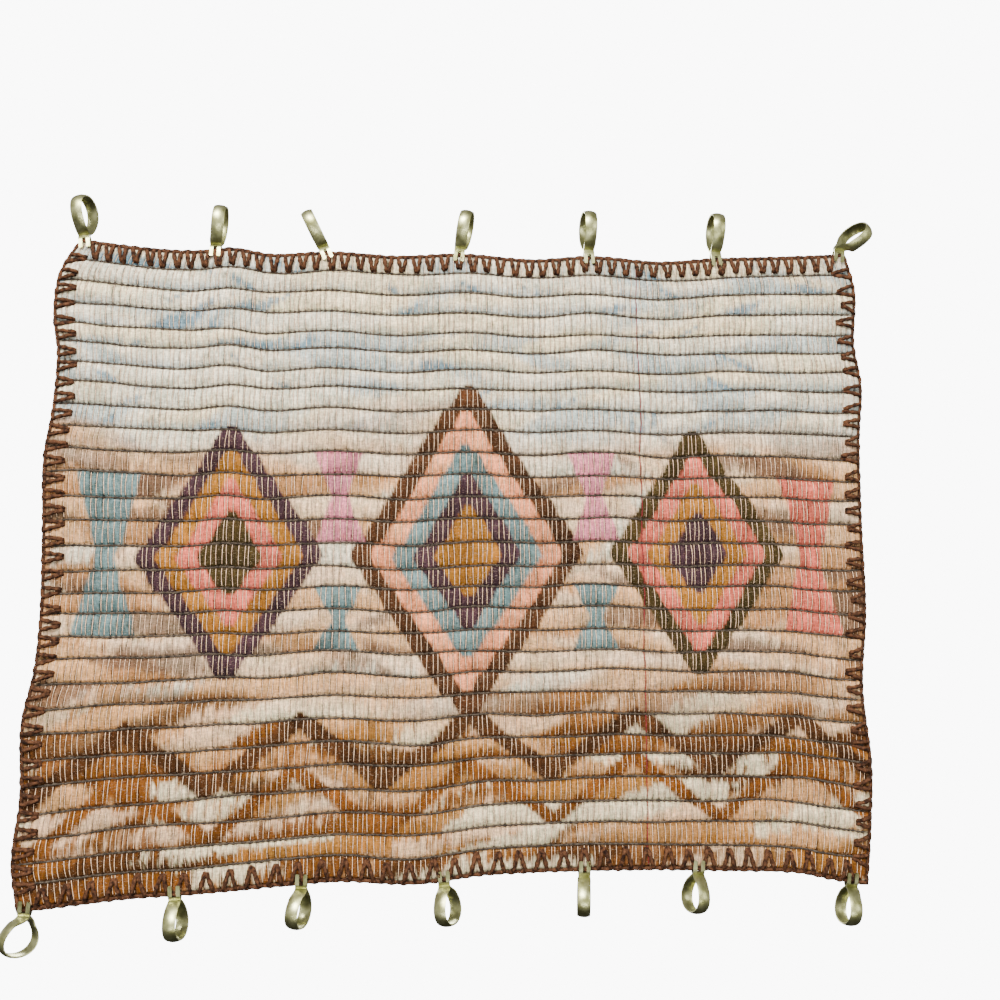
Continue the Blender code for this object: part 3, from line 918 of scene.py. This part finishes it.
def multiplied(tree, colour, factor):
    """The colour multiplied by one number at each point."""
    grey = add_node(tree, "ShaderNodeCombineColor")
    for channel in ("Red", "Green", "Blue"):
        tree.links.new(factor, grey.inputs[channel])
    return mix_colour(tree, "MULTIPLY", 1.0, colour, grey.outputs["Color"])


def added(tree, first, second):
    node = add_node(tree, "ShaderNodeMath", operation="ADD")
    tree.links.new(first, node.inputs[0])
    tree.links.new(second, node.inputs[1])
    return node.outputs[0]


def roving_material():
    """Unspun wool: the dyes, streaked along the bands, pleated between the warps, flecked, with painted
    shade along each warp, each groove and each fine pleat.
    """
    material, tree, shader = new_material("roving wool")
    colour = attribute(tree, "dye")
    threads = noise(tree, (1500, 260, 260), 3.0, 0.6)
    blotches = added(tree, noise(tree, (48, 80, 80), 5.0, 0.65), threads)
    cool = span(tree, blotches, 0.92, 1.14, 0.0, 0.85)
    colour = mix_colour(tree, "MULTIPLY", cool, colour, COOL_TINT)
    warm = span(tree, noise(tree, (280, 130, 130), 4.0, 0.6), 0.52, 0.70, 0.0, 0.50)
    colour = mix_colour(tree, "MULTIPLY", warm, colour, WARM_TINT)
    streaks = noise(tree, (200, 800, 800), 5.0, 0.7)
    pleat_relief_and_shade = noise(tree, (1300, 170, 170), 4.0, 0.65)
    colour = multiplied(tree, colour, span(tree, streaks, 0.30, 0.70, 0.62, 1.28))
    # Painted shade of the fine pleat relief: the same streaks darken and lighten the colour, and also
    # drive the bump below.
    colour = multiplied(tree, colour, span(tree, pleat_relief_and_shade, 0.32, 0.68, 0.55, 1.30))
    lie = add_node(tree, "ShaderNodeSeparateColor")
    tree.links.new(attribute(tree, "lie"), lie.inputs["Color"])
    frayed = span(tree, streaks, 0.3, 0.7, -0.05, 0.05)
    uneven = span(tree, noise(tree, (300, 45, 45), 3.0, 0.6), 0.35, 0.65, -0.10, 0.12)
    # Painted shade: the roving is darkened in a narrow valley along each warp.
    warp_crease_shade = added(tree, lie.outputs["Red"], added(tree, frayed, uneven))
    colour = multiplied(tree, colour, span(tree, warp_crease_shade, 0.06, 0.23, 0.28, 1.0))
    # Painted shade: the roving is darkened along each groove between two bands.
    groove_shade = added(tree, lie.outputs["Green"], frayed)
    colour = multiplied(tree, colour, span(tree, groove_shade, 0.02, 0.15, 0.30, 1.0))
    flecks = span(tree, noise(tree, (620, 1500, 1500), 3.0), 0.62, 0.74, 0.0, 0.60)
    colour = mix_colour(tree, "MIX", flecks, colour, FLECK)
    hairs = span(tree, noise(tree, (420, 2000, 2000), 4.0), 0.60, 0.72, 0.0, 0.30)
    colour = mix_colour(tree, "MIX", hairs, colour, HAIR)
    tree.links.new(colour, shader.inputs["Base Color"])
    shader.inputs["Roughness"].default_value = 1.0
    shader.inputs["Specular IOR Level"].default_value = 0.05
    fibres = noise(tree, (300, 1300, 1300), 6.0, 0.75)
    bump(tree, shader, added(tree, fibres, pleat_relief_and_shade), 1.0, 0.0017)
    return material


def yarn_material(name, dyes, depth):
    """Spun yarn, patchy between its two dyes, with fibres of that depth in metres."""
    material, tree, shader = new_material(name)
    patches = span(tree, noise(tree, (420, 420, 420), 4.0), 0.35, 0.65, 0.0, 1.0)
    mixed = mix_colour(tree, "MIX", patches, *dyes)
    fibres = span(tree, noise(tree, (1600, 1600, 1600), 3.0), 0.3, 0.7, 0.5, 1.5)
    tree.links.new(multiplied(tree, mixed, fibres), shader.inputs["Base Color"])
    shader.inputs["Roughness"].default_value = 0.95
    shader.inputs["Specular IOR Level"].default_value = 0.08
    bump(tree, shader, noise(tree, (1800, 1800, 1800), 4.0), 0.5, depth)
    return material


def brass_material():
    """Aged brass with a brushed satin finish and olive tarnish."""
    material, tree, shader = new_material("aged brass")
    tarnish = span(tree, noise(tree, (140, 140, 140), 4.0, 0.6), 0.36, 0.64, 0.0, 1.0)
    colour = mix_colour(tree, "MIX", tarnish, *BRASS)
    brushed = noise(tree, (2600, 500, 500), 3.0)
    colour = multiplied(tree, colour, span(tree, brushed, 0.3, 0.7, 0.92, 1.05))
    tree.links.new(colour, shader.inputs["Base Color"])
    shader.inputs["Metallic"].default_value = 1.0
    tree.links.new(span(tree, brushed, 0.3, 0.7, 0.35, 0.42), shader.inputs["Roughness"])
    return material


# Lights and camera

def area_light(name, place, aim, size, power, tint=(1, 1, 1)):
    lamp = bpy.data.lights.new(name, "AREA")
    lamp.shape = "RECTANGLE"
    lamp.size, lamp.size_y = size
    lamp.energy = power
    lamp.color = tint
    light = bpy.data.objects.new(name, lamp)
    light.location = place
    light.rotation_euler = (Vector(aim) - Vector(place)).to_track_quat("-Z", "Y").to_euler()
    bpy.context.scene.collection.objects.link(light)


def make_world():
    """White behind the object, and a soft room round it, brightest at the horizon."""
    world = bpy.data.worlds.new("studio")
    world.use_nodes = True
    tree = world.node_tree
    room = tree.nodes["Background"]
    direction = add_node(tree, "ShaderNodeSeparateXYZ")
    tree.links.new(add_node(tree, "ShaderNodeTexCoord").outputs["Generated"], direction.inputs[0])
    strength = add_node(tree, "ShaderNodeMath", operation="MULTIPLY")
    tree.links.new(span(tree, direction.outputs["Z"], -0.5, 0.05, 0.06, 1.3), strength.inputs[0])
    tree.links.new(span(tree, direction.outputs["Z"], 0.15, 0.6, 1.0, 0.30), strength.inputs[1])
    tree.links.new(strength.outputs[0], room.inputs["Strength"])
    room.inputs["Color"].default_value = (1.0, 0.985, 0.95, 1.0)
    white = add_node(tree, "ShaderNodeBackground")
    white.inputs["Strength"].default_value = WHITE_BEHIND
    seen = add_node(tree, "ShaderNodeLightPath")
    mixer = add_node(tree, "ShaderNodeMixShader")
    tree.links.new(seen.outputs["Is Camera Ray"], mixer.inputs["Fac"])
    tree.links.new(room.outputs[0], mixer.inputs[1])
    tree.links.new(white.outputs[0], mixer.inputs[2])
    tree.links.new(mixer.outputs[0], tree.nodes["World Output"].inputs["Surface"])
    bpy.context.scene.world = world


def make_lights():
    middle = (0.0, 0.0, -0.25)
    area_light("key", (-0.5, -1.4, 0.95), middle, (0.8, 0.5), 150.0, (1.0, 0.985, 0.96))
    area_light("window", (1.3, -1.3, 0.1), middle, (0.7, 0.9), 15.0)
    area_light("low", (0.0, -1.4, -0.8), middle, (1.3, 0.18), 18.0)
    area_light("rear", (-0.5, 1.5, 0.7), middle, (0.9, 0.6), 60.0)


def make_camera():
    pitch, yaw, roll = (math.radians(value) for value in (CAMERA_PITCH, CAMERA_YAW, CAMERA_ROLL))
    forward = Vector((math.sin(yaw) * math.cos(pitch), math.cos(yaw) * math.cos(pitch), math.sin(pitch)))
    right = forward.cross(Vector((0, 0, 1))).normalized()
    up = right.cross(forward)
    right, up = right * math.cos(roll) + up * math.sin(roll), up * math.cos(roll) - right * math.sin(roll)
    turn = Matrix((right, up, -forward)).transposed()
    lens = bpy.data.cameras.new("camera")
    lens.lens = CAMERA_LENS
    lens.sensor_width = 36.0
    lens.clip_start, lens.clip_end = 0.05, 20.0
    camera = bpy.data.objects.new("camera", lens)
    camera.matrix_world = Matrix.Translation(CAMERA_AIM - forward * CAMERA_DISTANCE) @ turn.to_4x4()
    bpy.context.scene.collection.objects.link(camera)
    bpy.context.scene.camera = camera


def dress(piece, material, slot, *nodes):
    """Give a piece its material and body, and hide the solids that it replaces. The slot is not used."""
    piece.data.materials.append(material)
    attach(piece, "root")
    if nodes:
        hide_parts(*nodes)
    return piece


def main():
    make_camera()
    make_world()
    make_lights()
    wool = roving_material()
    cotton = yarn_material("warp cotton", COTTON, 0.0001)
    wine = yarn_material("wine warp", WINE, 0.0001)
    shade = yarn_material("groove weft", GROOVE_WEFT, 0.0002)
    brown = yarn_material("brown yarn", BROWN_YARN, 0.0004)
    brass = brass_material()
    weave = make_weave()
    for piece in weave:
        dress(piece, wool, "wool", "panel")
    front_warps, red_warp, back_warps = make_warps()
    threads = [dress(front_warps, cotton, "wool"), dress(back_warps, cotton, "wool")]
    threads += [dress(red_warp, wine, "wool"), dress(make_picks(), shade, "edging_yarn")]
    threads += [dress(make_purl(), brown, "edging_yarn", "edging")]
    threads += [dress(make_stitches(face), brown, "edging_yarn") for face in (True, False)]
    rings = []
    for table, up in ((TOP_RINGS, 1), (BOTTOM_RINGS, -1)):
        rings += [dress(make_ring(ring, up), brass, "brass", ring[0]) for ring in table]


main()
